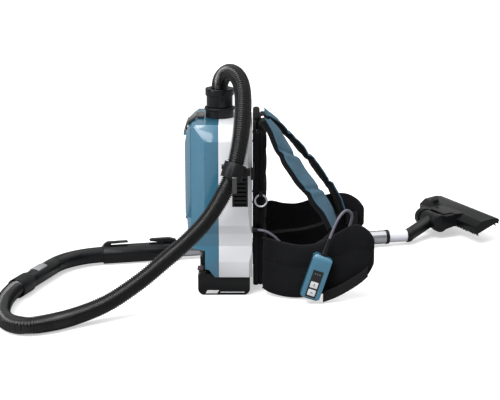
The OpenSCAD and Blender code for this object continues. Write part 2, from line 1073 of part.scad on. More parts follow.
module nozzle_head() {
    color(c_black)
        at_head(head_tilt)
            union() {
                difference() {
                    union() {
                        head_cover();
                        along_y(2 * fork_out)
                            polygon([[42, -27], [70, -27], [70, -6], [46, 4]]);
                        along_y(2 * barrel_half)
                            polygon([[10, -27], [43, -27], [47, 4], [24, 12]]);
                        translate([70, head_l / 2 - 45, -14])
                            cylinder(r = 10, h = 16);
                    }
                    block(48, 106, -head_l / 2 + 5, head_l / 2 - 5, -28, -20);
                    rod_in_head(barrel_r + 0.6, -barrel_half - 0.5, barrel_half + 0.5);
                }
                for (y0 = [-fork_out, barrel_half + 0.5]) {
                    rod_in_head(fork_r, y0, y0 + fork_out - barrel_half - 0.5);
                    translate([0, y0 + (fork_out - barrel_half - 0.5) / 2, 0])
                        along_y(fork_out - barrel_half - 0.5)
                            polygon([[4, -20], [43, -27], [47, 2], [8, 15]]);
                }
                rod_in_head(5, -fork_out, -barrel_half + 10);
                rod_in_head(5, barrel_half - 10, fork_out);
            }
}

module nozzle_sole() {
    color(c_dark)
        at_head(head_tilt)
            difference() {
                block(42, 114, -head_l / 2, head_l / 2, -31, -27);
                block(70, 86, -head_l / 2 + 20, head_l / 2 - 20, -40, -20);
            }
}

rear_housing();
front_housing();
chassis();
dust_door();
door_seal();
hinge_pins();
door_latch();
vent_grilles();
neck_collar();
bag_collar();
dust_bag();
pre_filter();
motor_housing();
motor();
motor_bearings();
impeller();
motor_shaft();
exhaust_filters();
control_board();
base_foot();
battery_left();
battery_right();
cells_left();
cells_right();
battery_button_left();
battery_button_right();
hose_cuff();
vacuum_hose();
hose_clip();
clip_lever();
clip_strap();
harness_frame();
harness_screws();
back_pad();
carry_loop();
shoulder_strap_near();
shoulder_strap_far();
hip_wing_near();
hip_wing_far();
belt_webbing();
buckle_plug();
buckle_socket();
side_ring();
remote_shell();
remote_panel();
power_button();
mode_button();
strain_relief();
cable_gland();
remote_cable();
wand_swivel();
bent_pipe();
suction_slider();
pipe_latch();
outer_tube();
tube_collar();
inner_tube();
nozzle_elbow();
nozzle_head();
nozzle_sole();
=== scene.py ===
"""Backpack vacuum cleaner: the looks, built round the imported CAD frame."""
import math

import bmesh
import bpy
from mathutils import Matrix, Vector, noise


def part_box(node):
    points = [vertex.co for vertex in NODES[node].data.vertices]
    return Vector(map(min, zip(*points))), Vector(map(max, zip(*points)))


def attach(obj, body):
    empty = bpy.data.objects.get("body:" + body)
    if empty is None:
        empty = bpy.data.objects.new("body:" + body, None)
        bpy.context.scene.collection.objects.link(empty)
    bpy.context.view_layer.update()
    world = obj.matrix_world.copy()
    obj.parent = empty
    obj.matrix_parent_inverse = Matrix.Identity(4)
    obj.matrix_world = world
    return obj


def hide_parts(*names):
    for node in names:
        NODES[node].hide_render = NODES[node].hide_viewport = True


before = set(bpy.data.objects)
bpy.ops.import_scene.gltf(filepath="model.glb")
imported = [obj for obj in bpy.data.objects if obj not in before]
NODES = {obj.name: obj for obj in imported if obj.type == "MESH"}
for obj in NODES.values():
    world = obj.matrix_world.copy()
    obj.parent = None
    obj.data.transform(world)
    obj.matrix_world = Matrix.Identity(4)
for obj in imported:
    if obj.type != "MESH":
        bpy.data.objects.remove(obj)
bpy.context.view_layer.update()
ROOT = "vacuum_body"
MM = 0.001
X_AXIS = Vector((1, 0, 0))
ACROSS = Vector((0, 1, 0))
UP = Vector((0, 0, 1))

# ---------------------------------------------------------------- camera

IMAGE_W = 500
FOCAL_PX = 1411
CAMERA_AT = (0.056, -3.115, 0.98)
CAMERA_DOWN = 14.2
camera_data = bpy.data.cameras.new("camera")
camera_data.sensor_width = 36
camera_data.lens = FOCAL_PX / IMAGE_W * camera_data.sensor_width
camera = bpy.data.objects.new("camera", camera_data)
camera.location = CAMERA_AT
camera.rotation_euler = (math.radians(90 - CAMERA_DOWN), 0, 0)
bpy.context.scene.collection.objects.link(camera)
bpy.context.scene.camera = camera

# ---------------------------------------------------------------- mesh helpers


def add_mesh(name, verts, faces, mats, body=ROOT, uvs=None, face_mats=None, smooth=True):
    """A mesh object that rides on a body. uvs holds one pair per vertex of each face."""
    mesh = bpy.data.meshes.new(name)
    mesh.from_pydata([tuple(v) for v in verts], [], faces)
    for m in mats:
        mesh.materials.append(m)
    if uvs:
        layer = mesh.uv_layers.new(name="UVMap")
        for poly, corners in zip(mesh.polygons, uvs):
            for loop, uv in zip(poly.loop_indices, corners):
                layer.data[loop].uv = uv
    for i, poly in enumerate(mesh.polygons):
        poly.use_smooth = smooth
        if face_mats:
            poly.material_index = face_mats[i]
    mesh.update()
    obj = bpy.data.objects.new(name, mesh)
    bpy.context.scene.collection.objects.link(obj)
    bm = bmesh.new()
    bm.from_mesh(mesh)
    bmesh.ops.recalc_face_normals(bm, faces=bm.faces)
    bm.to_mesh(mesh)
    bm.free()
    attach(obj, body)
    return obj


def between(p, i, t):
    """Catmull-Rom point at t of the way from point i to the next."""
    a, b, c, d = p[max(i - 1, 0)], p[i], p[i + 1], p[min(i + 2, len(p) - 1)]
    return 0.5 * (2 * b + (c - a) * t + (2 * a - 5 * b + 4 * c - d) * t * t
                  + (3 * b - a - 3 * c + d) * t ** 3)


def smooth_path(points, steps):
    points = [Vector(p) for p in points]
    path = [between(points, i, s / steps) for i in range(len(points) - 1) for s in range(steps)]
    return path + [points[-1]]


def resample(path, spacing, extras=None):
    """The path at an even spacing, with the values that go with its points, if any."""
    lengths = [0.0]
    for a, b in zip(path, path[1:]):
        lengths.append(lengths[-1] + (b - a).length)
    count = max(2, round(lengths[-1] / spacing))
    out, values, i = [], [], 0
    for k in range(count + 1):
        s = lengths[-1] * k / count
        while i < len(path) - 2 and lengths[i + 1] < s:
            i += 1
        part = (s - lengths[i]) / (lengths[i + 1] - lengths[i])
        out.append(path[i].lerp(path[i + 1], part))
        if extras:
            values.append(extras[i] * (1 - part) + extras[i + 1] * part)
    return (out, values) if extras else out


def path_length(path):
    return sum((b - a).length for a, b in zip(path, path[1:]))


def along(path, i):
    return (path[min(i + 1, len(path) - 1)] - path[max(i - 1, 0)]).normalized()


def carried_frames(path, first):
    """A frame (side, out) at each point, carried along the path without twist."""
    side, frames = first, []
    for i in range(len(path)):
        d = along(path, i)
        side = (side - d * side.dot(d)).normalized()
        frames.append((side, d.cross(side)))
    return frames


def loft(name, rings, mats, body=ROOT, ring_mats=None):
    """Skin over closed rings of equal length, capped at both ends.

    ring_mats gives a material for each place round the ring.
    """
    n, verts, faces, uv, which = len(rings[0]), [], [], [], []
    for ring in rings:
        verts += ring
    around = [0.0]
    for k in range(n):
        around.append(around[-1] + (rings[0][(k + 1) % n] - rings[0][k]).length)
    v = [0.0]
    for a, b in zip(rings, rings[1:]):
        v.append(v[-1] + (b[0] - a[0]).length)
    for i in range(len(rings) - 1):
        for k in range(n):
            j = (k + 1) % n
            faces.append((i * n + k, i * n + j, (i + 1) * n + j, (i + 1) * n + k))
            uv.append(((around[k], v[i]), (around[k + 1], v[i]), (around[k + 1], v[i + 1]),
                       (around[k], v[i + 1])))
            which.append(ring_mats[k] if ring_mats else 0)
    for i in (0, len(rings) - 1):
        faces.append(tuple(i * n + k for k in range(n)))
        uv.append([(0, 0)] * n)
        which.append(max(which))
    return add_mesh(name, verts, faces, mats, body, uv, which)


def tube(name, path, radius, mats, sides, first=UP):
    """Round tube on the root. radius is a number or a function of (distance along, angle)."""
    rings, s = [], 0.0
    frames = carried_frames(path, first)
    for i, p in enumerate(path):
        if i:
            s += (p - path[i - 1]).length
        side, out = frames[i]
        ring = []
        for k in range(sides):
            a = 2 * math.pi * k / sides
            r = radius(s, a) if callable(radius) else radius
            ring.append(p + side * (r * math.cos(a)) + out * (r * math.sin(a)))
        rings.append(ring)
    return loft(name, rings, mats)


def section(width, thick, corner=4, count=9):
    """Closed, crowned section of a flat band as (across, out) pairs, outer face first."""
    half = width / 2
    xs = [half * math.sin(math.pi / 2 * (2 * k / count - 1)) for k in range(count + 1)]
    top = [(x, thick / 2 * max(0.0, 1 - abs(x / half) ** corner) ** 0.5) for x in xs]
    return top + [(x, -o) for x, o in reversed(top[1:-1])]


def tilted_frames(path, tilts):
    """Frames like those of the CAD bands: across follows Y, then tilts about the path."""
    out = []
    for i in range(len(path)):
        d = along(path, i)
        n = d.cross(ACROSS).normalized()
        w = n.cross(d)
        t = tilts[min(i, len(tilts) - 1)]
        out.append((w * math.cos(t) + n * math.sin(t), n * math.cos(t) - w * math.sin(t)))
    return out


def flat_frames(path, side):
    """Frames of a band whose width keeps to one direction."""
    return [(side, along(path, i).cross(side).normalized()) for i in range(len(path))]


def band(name, path, frames, outline, mats, ring_mats=None, shape=None):
    """Sweeps an (across, out) outline. shape(distance, across, out) may move each point."""
    rings, s = [], 0.0
    for i, p in enumerate(path):
        if i:
            s += (p - path[i - 1]).length
        side, out = frames[i]
        ring = []
        for a, o in outline:
            if shape:
                a, o = shape(s, a, o)
            ring.append(p + side * a + out * o)
        rings.append(ring)
    return loft(name, rings, mats, ring_mats=ring_mats)


def rounded(width, depth, corner, count):
    """Points round a rectangle with rounded corners. depth is along X, width along Y."""
    pts = []
    corners = [(1, 1, 0), (1, -1, -90), (-1, -1, 180), (-1, 1, 90)]
    for sx, sy, start in corners:
        for k in range(count):
            a = math.radians(start + 90 * (1 - k / (count - 1)))
            pts.append((sx * (depth / 2 - corner) + corner * math.cos(a),
                        sy * (width / 2 - corner) + corner * math.sin(a)))
    return pts


# ---------------------------------------------------------------- materials


def material(name, colour, rough, **sockets):
    m = bpy.data.materials.new(name)
    m.use_nodes = True
    m.diffuse_color = (*colour, 1)
    shader = m.node_tree.nodes["Principled BSDF"]
    shader.inputs["Base Color"].default_value = (*colour, 1)
    shader.inputs["Roughness"].default_value = rough
    for key, value in sockets.items():
        shader.inputs[key.replace("_", " ")].default_value = value
    return m, m.node_tree.nodes, m.node_tree.links, shader


def texture(nodes, links, kind, coords, **values):
    t = nodes.new(kind)
    for key, value in values.items():
        t.inputs[key].default_value = value
    links.new(coords, t.inputs["Vector"])
    return t


def ramp(nodes, links, source, low, high):
    """Maps 0..1 of a socket to low..high."""
    r = nodes.new("ShaderNodeMapRange")
    r.inputs["To Min"].default_value = low
    r.inputs["To Max"].default_value = high
    links.new(source, r.inputs["Value"])
    return r.outputs["Result"]


def tinted(nodes, links, source, dark, light, shader):
    mix = nodes.new("ShaderNodeMix")
    mix.data_type = "RGBA"
    mix.inputs["A"].default_value = (*dark, 1)
    mix.inputs["B"].default_value = (*light, 1)
    links.new(source, mix.inputs["Factor"])
    links.new(mix.outputs["Result"], shader.inputs["Base Color"])


def scaled(colour, k):
    return tuple(min(1.0, c * k) for c in colour)


def bumped(nodes, links, height, shader, strength, distance):
    b = nodes.new("ShaderNodeBump")
    b.inputs["Strength"].default_value = strength
    b.inputs["Distance"].default_value = distance
    links.new(height, b.inputs["Height"])
    links.new(b.outputs["Normal"], shader.inputs["Normal"])


def plastic(name, colour, rough, grain=1400, bump=0.25, coat=0.0, mottle=0.08, scuff=0.10,
            spec=0.5):
    """Moulded plastic: fine spark-eroded grain, faint mottling and rubbed patches."""
    m, nodes, links, shader = material(name, colour, rough, Coat_Weight=coat,
                                       Coat_Roughness=0.08, Specular_IOR_Level=spec)
    coords = nodes.new("ShaderNodeTexCoord").outputs["Object"]
    broad = texture(nodes, links, "ShaderNodeTexNoise", coords, Scale=14, Detail=4)
    fine = texture(nodes, links, "ShaderNodeTexNoise", coords, Scale=grain, Detail=2)
    rub = texture(nodes, links, "ShaderNodeTexNoise", coords, Scale=60, Detail=6, Roughness=0.7)
    tinted(nodes, links, broad.outputs["Fac"], scaled(colour, 1 - mottle),
           scaled(colour, 1 + mottle), shader)
    links.new(ramp(nodes, links, rub.outputs["Fac"], rough - scuff, rough + scuff),
              shader.inputs["Roughness"])
    bumped(nodes, links, fine.outputs["Fac"], shader, bump, 0.0002)
    return m


def brushed(name, colour, rough, stretch=(40, 40, 1400)):
    """Metal with fine drawn lines and a little staining."""
    m, nodes, links, shader = material(name, colour, rough, Metallic=1.0)
    coords = nodes.new("ShaderNodeTexCoord").outputs["Object"]
    mapping = nodes.new("ShaderNodeMapping")
    mapping.inputs["Scale"].default_value = stretch
    links.new(coords, mapping.inputs["Vector"])
    lines = texture(nodes, links, "ShaderNodeTexNoise", mapping.outputs["Vector"], Scale=1,
                    Detail=3)
    stain = texture(nodes, links, "ShaderNodeTexNoise", coords, Scale=25, Detail=5)
    tinted(nodes, links, stain.outputs["Fac"], scaled(colour, 0.85), scaled(colour, 1.08), shader)
    links.new(ramp(nodes, links, lines.outputs["Fac"], rough - 0.1, rough + 0.15),
              shader.inputs["Roughness"])
    bumped(nodes, links, lines.outputs["Fac"], shader, 0.2, 0.0001)
    return m


def fabric(name, colour, pitch=0.0011, rough=0.85, bump=0.7, sheen=0.02, use_uv=True, shade_and_fade=0.18,
           spec=0.2):
    """Plain weave: two crossed sets of threads, painted darker in the hollows between them as
    painted shade, with faded patches.
    """
    m, nodes, links, shader = material(name, colour, rough, Sheen_Weight=sheen,
                                       Sheen_Roughness=0.5, Specular_IOR_Level=spec)
    where = nodes.new("ShaderNodeTexCoord")
    coords = where.outputs["UV" if use_uv else "Object"]
    waves = []
    for direction in ("X", "Y" if use_uv else "Z"):
        w = texture(nodes, links, "ShaderNodeTexWave", coords, Scale=1 / pitch / (2 * math.pi),
                    Distortion=0.6, Detail=1)
        w.bands_direction = direction
        w.wave_profile = "SIN"
        waves.append(w)
    weave = nodes.new("ShaderNodeMath")
    weave.operation = "MULTIPLY"
    links.new(waves[0].outputs["Fac"], weave.inputs[0])
    links.new(waves[1].outputs["Fac"], weave.inputs[1])
    broad = texture(nodes, links, "ShaderNodeTexNoise", where.outputs["Object"], Scale=30, Detail=6,
                    Roughness=0.65)
    # The weave's hollows get a painted shade, darker where the threads lie low; the broad noise
    # adds faded patches.
    shade = nodes.new("ShaderNodeMath")
    shade.operation = "MULTIPLY_ADD"
    shade.inputs[1].default_value = 0.45
    links.new(weave.outputs[0], shade.inputs[0])
    links.new(ramp(nodes, links, broad.outputs["Fac"], 0.1, 0.7), shade.inputs[2])
    tinted(nodes, links, shade.outputs[0], scaled(colour, 1 - shade_and_fade * 2), scaled(colour, 1 + shade_and_fade),
           shader)
    bumped(nodes, links, weave.outputs[0], shader, bump, pitch * 0.4)
    return m


BLUE = plastic("blue_moulding", (0.033, 0.134, 0.208), 0.30, coat=0.8)
WHITE = plastic("white_moulding", (0.64, 0.645, 0.67), 0.38, coat=0.3, mottle=0.03)
BLACK = plastic("black_moulding", (0.0038, 0.0041, 0.0047), 0.30, grain=1100, bump=0.25, spec=0.24,
                coat=0.06)
DARK = plastic("dark_moulding", (0.0058, 0.0062, 0.0070), 0.40, grain=1100, bump=0.3, spec=0.22)
GLOSS_GREY = plastic("grey_gloss", (0.030, 0.030, 0.031), 0.25, coat=0.5, bump=0.1)
SATIN_GREY = plastic("grey_slide", (0.22, 0.22, 0.23), 0.3, coat=0.3, bump=0.1)
HOSE = plastic("hose_rubber", (0.0030, 0.0030, 0.0033), 0.20, grain=700, bump=0.06, scuff=0.04,
               spec=0.50)
SEAL = plastic("seal_rubber", (0.006, 0.006, 0.006), 0.7, spec=0.2)
PINK = plastic("button_rose", (0.045, 0.022, 0.026), 0.35, coat=0.3)
PEARL = plastic("button_white", (0.52, 0.53, 0.54), 0.3, coat=0.3, mottle=0.03)
CABLE = plastic("cable_lilac", (0.10, 0.095, 0.125), 0.4, grain=900)
SMOKE = plastic("panel_black", (0.004, 0.004, 0.005), 0.2, coat=0.4, bump=0.05, spec=0.3)
LENS = plastic("indicator", (0.10, 0.14, 0.15), 0.15, coat=0.8, bump=0.02)
TUBE_WHITE = plastic("tube_white", (0.70, 0.69, 0.75), 0.25, coat=0.4, mottle=0.02)
BOARD = plastic("board_green", (0.02, 0.10, 0.05), 0.4)
CARD = plastic("card", (0.42, 0.33, 0.2), 0.85, bump=0.5)
METAL = brushed("drawn_aluminium", (0.55, 0.56, 0.59), 0.22)
STEEL = brushed("steel", (0.62, 0.63, 0.65), 0.3, stretch=(300, 300, 300))
CAST = brushed("cast_metal", (0.35, 0.35, 0.37), 0.5, stretch=(500, 500, 500))
STRAP_BLUE = fabric("strap_blue", (0.047, 0.112, 0.166), pitch=0.0013, sheen=0.05)
PAD_BLACK = fabric("pad_black", (0.0048, 0.005, 0.006), pitch=0.0016, use_uv=False, spec=0.12)
LINING = fabric("lining_black", (0.007, 0.007, 0.009), pitch=0.0022, bump=0.9, spec=0.12)
WEB = fabric("webbing_black", (0.006, 0.006, 0.007), pitch=0.0018, rough=0.7)
HANDLE_WEB = fabric("webbing_handle", (0.016, 0.016, 0.017), pitch=0.0015, rough=0.75)
BINDING = fabric("binding_black", (0.0045, 0.0045, 0.0055), pitch=0.001, rough=0.75)
THREAD = plastic("thread", (0.025, 0.026, 0.029), 0.6, spec=0.2)
THREAD_BLUE = plastic("thread_blue", (0.12, 0.22, 0.28), 0.6, spec=0.2)
BAG = fabric("bag_cloth", (0.50, 0.47, 0.40), pitch=0.0009, use_uv=False)
FILTER = fabric("filter_cloth", (0.5, 0.5, 0.48), pitch=0.003, use_uv=False, bump=1.0)
FOAM = fabric("filter_foam", (0.006, 0.006, 0.006), pitch=0.002, use_uv=False, bump=1.0, spec=0.1)
BRISTLE = plastic("bristle", (0.006, 0.006, 0.006), 0.5, spec=0.3)
LIGHT_BAR = plastic("label_bar", (0.62, 0.62, 0.63), 0.35, mottle=0.03)

# ---------------------------------------------------------------- free cords

# The routes are those of part.scad, in mm
HOSE_R = 0.019
HOSE_ROUTE = [(-12, 0, 441.5), (-11.6, -0.4, 453), (-8, -6, 470), (2, -19, 485),
              (14.5, -38, 491), (27.5, -58, 486), (37, -76, 470), (41, -97, 442),
              (40, -121, 408), (36, -143, 370), (28.4, -159, 328), (17.4, -169, 288),
              (-5, -179, 243), (-36, -191, 196),
              (-77, -208, 155), (-125, -230, 117), (-180, -254, 76), (-245, -286, 40),
              (-310, -322, 23), (-360, -358, 21), (-405, -374, 21), (-440, -356, 21),
              (-463, -310, 21), (-472, -255, 21), (-473, -200, 22), (-466, -148, 23.5),
              (-459, -127, 23.5)]
CABLE_R = 0.003
CABLE_ROUTE = [(72, -104, 150), (90, -108, 148), (108, -111, 138), (128, -114, 120),
               (160, -120, 104), (200, -125, 100), (235, -128, 108), (260, -130, 134),
               (274, -133, 166), (278, -140, 194), (264, -154, 207), (246, -166, 190),
               (228, -172, 148)]
CABLE_STEP = 0.004
RIB_PITCH = 0.0049
RIB_DEPTH = 0.0030
RINGS_PER_RIB = 6


def route(points, spacing):
    return resample(smooth_path([Vector(p) * MM for p in points], 12), spacing)


def rib(s, a):
    """Helical ribs with evenly rounded crowns and valleys."""
    phase = s / RIB_PITCH + a / (2 * math.pi)
    return HOSE_R - RIB_DEPTH * (0.5 + 0.5 * math.cos(2 * math.pi * phase))


hose_path = route(HOSE_ROUTE, RIB_PITCH / RINGS_PER_RIB)
hose = tube("hose", hose_path, rib, [HOSE], sides=28, first=X_AXIS)
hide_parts("vacuum_hose")

cable_path = route(CABLE_ROUTE, CABLE_STEP)
cable = tube("control_cable", cable_path, CABLE_R, [CABLE], sides=14)
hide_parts("remote_cable")

# ---------------------------------------------------------------- CAD nodes kept as they are

# Each node's finish, and the radius of its rounded edges in mm
FINISHES = {
    "rear_housing": (WHITE, 1.3), "front_housing": (BLUE, 1.3), "chassis": (DARK, 0.6),
    "dust_door": (BLUE, 1.3), "door_seal": (SEAL, 1.0), "hinge_pins": (STEEL, 0.3),
    "door_latch": (GLOSS_GREY, 0.9), "vent_grilles": (BLACK, 0.4), "neck_collar": (DARK, 1.2),
    "bag_collar": (CARD, 0.5), "pre_filter": (FILTER, 1.5), "motor_housing": (DARK, 1.0),
    "motor": (CAST, 1.0), "motor_bearings": (STEEL, 0.5), "impeller": (CAST, 0.3),
    "motor_shaft": (STEEL, 0.4), "exhaust_filters": (FOAM, 1.0), "control_board": (BOARD, 0.5),
    "base_foot": (DARK, 1.5), "battery_left": (BLACK, 1.2), "battery_right": (BLACK, 1.2),
    "cells_left": (STEEL, 0.5), "cells_right": (STEEL, 0.5), "battery_button_left": (PINK, 0.8),
    "battery_button_right": (PINK, 0.8), "hose_cuff": (BLACK, 1.2), "hose_clip": (DARK, 0.6),
    "clip_lever": (GLOSS_GREY, 0.5), "harness_frame": (DARK, 1.5), "harness_screws": (STEEL, 0.5),
    "buckle_plug": (DARK, 1.0), "buckle_socket": (DARK, 1.0), "side_ring": (STEEL, 0.0),
    "remote_shell": (BLUE, 1.4), "remote_panel": (SMOKE, 0.5), "power_button": (PEARL, 1.0),
    "mode_button": (PEARL, 1.0), "strain_relief": (BLACK, 0.6), "cable_gland": (DARK, 0.6),
    "wand_swivel": (DARK, 1.2), "bent_pipe": (BLACK, 1.0), "suction_slider": (SATIN_GREY, 0.6),
    "pipe_latch": (DARK, 1.0), "outer_tube": (METAL, 0.3), "tube_collar": (BLACK, 0.5),
    "inner_tube": (TUBE_WHITE, 0.3), "nozzle_elbow": (BLACK, 1.0), "nozzle_head": (BLACK, 1.6),
    "nozzle_sole": (DARK, 0.8)}

# The shells' shallow facets keep crisp edges, so their limit is lower. Angles are in degrees.
SHELLS = ("rear_housing", "front_housing", "dust_door")
SHELL_ANGLE = 7
EDGE_ANGLE = 28


def soften(obj, width, angle):
    """Rounds the edges of a CAD node in the render, without touching its mesh."""
    weld = obj.modifiers.new("Weld", "WELD")
    weld.merge_threshold = 1e-6
    bevel = obj.modifiers.new("Bevel", "BEVEL")
    bevel.width = width
    bevel.segments = 3
    bevel.limit_method = "ANGLE"
    bevel.angle_limit = math.radians(angle)
    bevel.harden_normals = True
    bevel.use_clamp_overlap = True


def smooth_shading(obj):
    for poly in obj.data.polygons:
        poly.use_smooth = True


for node_name, (finish, edge) in FINISHES.items():
    part = NODES[node_name]
    part.data.materials.clear()
    part.data.materials.append(finish)
    smooth_shading(part)
    if edge:
        soften(part, edge * MM, SHELL_ANGLE if node_name in SHELLS else EDGE_ANGLE)

# ---------------------------------------------------------------- padded goods

# How long the cloth swells, and how much of an inward move is kept
CLOTH_FRAMES = 18
INWARD_SHARE = 0.6


def inflate(obj, pinned, pressure, cap):
    """Swells a closed skin by cloth simulation. No point moves further than cap.

    pinned holds the vertex numbers on its seams.
    """
    scene = bpy.context.scene
    mesh = obj.data
    rest = [v.co.copy() for v in mesh.vertices]
    group = obj.vertex_groups.new(name="seam")
    group.add(list(pinned), 1.0, "REPLACE")
    cloth = obj.modifiers.new("Cloth", "CLOTH")
    s = cloth.settings
    s.quality = 5
    s.mass = 0.3
    s.tension_stiffness = s.compression_stiffness = 25
    s.shear_stiffness = 10
    s.bending_stiffness = 0.8
    s.use_pressure = True
    s.uniform_pressure_force = pressure
    s.vertex_group_mass = "seam"
    s.effector_weights.gravity = 0
    cloth.collision_settings.use_collision = False
    cloth.collision_settings.use_self_collision = False
    for f in range(1, CLOTH_FRAMES + 1):
        scene.frame_set(f)
    moved = obj.evaluated_get(bpy.context.evaluated_depsgraph_get())
    puffed = [v.co.copy() for v in moved.data.vertices]
    obj.modifiers.remove(cloth)
    obj.vertex_groups.remove(group)
    scene.frame_set(1)
    normals = [v.normal.copy() for v in mesh.vertices]
    for v, a, b, n in zip(mesh.vertices, rest, puffed, normals):
        d = b - a
        if d.length > cap:
            d *= cap / d.length
        if d.dot(n) < 0:
            d *= INWARD_SHARE
        v.co = a + d
    mesh.update()


def finish_soft(obj):
    sub = obj.modifiers.new("Subdivision", "SUBSURF")
    sub.levels = sub.render_levels = 1


STITCH_LENGTH = 0.0026
STITCH_GAP = 0.0018
STITCH_WIDTH = 0.0007


def stitches(name, path, normals, thread):
    """A row of thread stitches lying on a surface, as one mesh."""
    verts, faces, s, nxt = [], [], 0.0, STITCH_GAP
    for i in range(len(path) - 1):
        seg = path[i + 1] - path[i]
        d = seg.normalized()
        while nxt < s + seg.length:
            c = path[i] + d * (nxt - s)
            n = normals[i]
            w = d.cross(n).normalized() * STITCH_WIDTH
            half = d * (STITCH_LENGTH / 2)
            k = len(verts)
            verts += [c - half - w * 0.5, c - half + w * 0.5, c + half + w * 0.5,
                      c + half - w * 0.5, c - half * 0.7 + n * STITCH_WIDTH * 0.8,
                      c + half * 0.7 + n * STITCH_WIDTH * 0.8]
            faces += [(k, k + 3, k + 5, k + 4), (k + 1, k + 4, k + 5, k + 2), (k, k + 4, k + 1),
                      (k + 3, k + 2, k + 5)]
            nxt += STITCH_LENGTH + STITCH_GAP
        s += seg.length
    return add_mesh(name, verts, faces, [thread], smooth=False)


# Shoulder straps: a blue face sewn over black padding. Stations are (x, y, z) in mm and the
# tilt in degrees.
STRAP_W = 0.066
STRAP_T = 0.014
STRAPS = {
    "near": [(90, -52, 386, 0), (106, -60, 366, 8), (122, -74, 336, 14), (143, -88, 303, 16),
             (168, -97, 268, 16), (196, -104, 232, 16), (222, -108, 196, 14), (238, -110, 160, 10)],
    "far": [(90, 52, 381, 0), (114, 60, 362, -6), (142, 74, 330, -8), (170, 86, 299, -8),
            (198, 96, 263, -8), (228, 103, 222, -8), (256, 105, 180, -8), (270, 104, 142, -6)]}


def stationed(stations, spacing):
    """(path, tilts) of a band at an even spacing."""
    fine = smooth_path([Vector(s[:3]) * MM for s in stations], 10)
    tilts = smooth_path([Vector((math.radians(s[3]), 0, 0)) for s in stations], 10)
    return resample(fine, spacing, [t.x for t in tilts])


FACE_PTS = 13
SIDE_PTS = 4
STRAP_STEP = 0.005
OUTER_SEAM_R = 0.0017
INNER_SEAM_R = 0.0015
# Distances along each strap where a slanting crease draws it in, with a ridge just past it
PINCHES = {"near": (0.088, 0.186), "far": (0.070, 0.150, 0.235)}
PINCH_SHARE, PINCH_REACH = 0.13, 0.013
CREASE_DEPTH, CREASE_REACH, CREASE_SLANT = 0.0036, 0.005, 0.30
RIDGE_HEIGHT, RIDGE_REACH, RIDGE_PAST = 0.0016, 0.007, 0.012
# How far the folds lift the skin and push its edges out, and over what length they die out at
# the ends
FOLD_LIFT = 0.0024
FINE_LIFT = 0.0010
EDGE_WAVE = 0.07
FADE_LENGTH = 0.03
# How much narrower the strap is at its root, and how far its faces are crowned
ROOT_SHARE, ROOT_REACH = 0.20, 0.022
STRAP_CROWN = 0.0012


def strap_outline(width, thick):
    """Outer face first, then the side, the inner face and the other side."""
    half, edge = width / 2, thick * 0.5
    face = [(half * (2 * k / (FACE_PTS - 1) - 1) * 0.99, edge) for k in range(FACE_PTS)]
    side = [(half, edge * (1 - 2 * (k + 0.7) / (SIDE_PTS + 0.4))) for k in range(SIDE_PTS)]
    inner = [(-a, -o * 0.98) for a, o in face]
    return face + side + inner + [(-a, -o) for a, o in side]


def bell(distance, reach):
    """1 at no distance, falling smoothly away over reach."""
    return math.exp(-(distance / reach) ** 2)


def padded_strap(which, seed):
    """A strap's padded skin, the piping on its four seams and two rows of stitches."""
    path, tilts = stationed(STRAPS[which], STRAP_STEP)
    frames = tilted_frames(path, tilts)
    total = path_length(path)

    def shape(s, a, o):
        """Folds, creases and a crown, at a distance s along the strap."""
        fade = min(1.0, s / FADE_LENGTH, (total - s) / FADE_LENGTH)
        fold = noise.noise(Vector((s * 26, seed, 0)))
        fine = noise.noise(Vector((s * 55, a * 40, seed)))
        wave = noise.noise(Vector((s * 19, 5 * seed, 1 if a > 0 else 4)))
        wide = 1 + EDGE_WAVE * fade * wave - ROOT_SHARE * bell(s, ROOT_REACH)
        crown = STRAP_CROWN * (1 - (a / (STRAP_W / 2)) ** 2)
        lift = (FOLD_LIFT * fold + FINE_LIFT * fine) * fade
        for pinch in PINCHES[which]:
            past = s - pinch
            wide -= PINCH_SHARE * bell(past, PINCH_REACH)
            if o > 0:
                lift -= CREASE_DEPTH * bell(past - a * CREASE_SLANT, CREASE_REACH)
            lift += RIDGE_HEIGHT * bell(past - RIDGE_PAST - a * CREASE_SLANT, RIDGE_REACH)
        return a * wide * 0.97, o * 0.86 + (crown if o > 0 else -crown) + lift

    skin = band("strap_pad_" + which, path, frames, strap_outline(STRAP_W, STRAP_T),
                [PAD_BLACK, STRAP_BLUE], shape=shape,
                ring_mats=[1] * (FACE_PTS - 1) + [0] * (FACE_PTS + 2 * SIDE_PTS + 1))
    n = 2 * (FACE_PTS + SIDE_PTS)
    count = len(path)
    seam = [i * n + k for i in range(count) for k in (0, FACE_PTS - 1, FACE_PTS + SIDE_PTS,
                                                     2 * FACE_PTS + SIDE_PTS - 1)]
    ends = [i * n + k for i in (0, 1, count - 2, count - 1) for k in range(n)]
    inflate(skin, seam + ends, pressure=3.5, cap=0.0035)
    co = [v.co.copy() for v in skin.data.vertices]
    finish_soft(skin)
    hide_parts("shoulder_strap_" + which)
    outs = [f[1] for f in frames]
    # Each seam's place in the outline, and the place beside it for the outer seams' stitches
    for label, place, beside in (("outer_a", 0, 1), ("outer_b", FACE_PTS - 1, FACE_PTS - 2),
                                 ("inner_a", FACE_PTS + SIDE_PTS, None),
                                 ("inner_b", 2 * FACE_PTS + SIDE_PTS - 1, None)):
        line = [co[i * n + place] for i in range(count)]
        outer = beside is not None
        piping = tube("strap_%s_%s" % (which, label), line,
                      OUTER_SEAM_R if outer else INNER_SEAM_R,
                      [STRAP_BLUE if outer else BINDING], sides=8)
        if outer:
            row = [co[i * n + place].lerp(co[i * n + beside], 0.9) + outs[i] * 0.0002
                   for i in range(count)]
            stitches("strap_%s_thread_%s" % (which, label), row, outs, THREAD_BLUE)


padded_strap("near", 2.3)
padded_strap("far", 7.9)

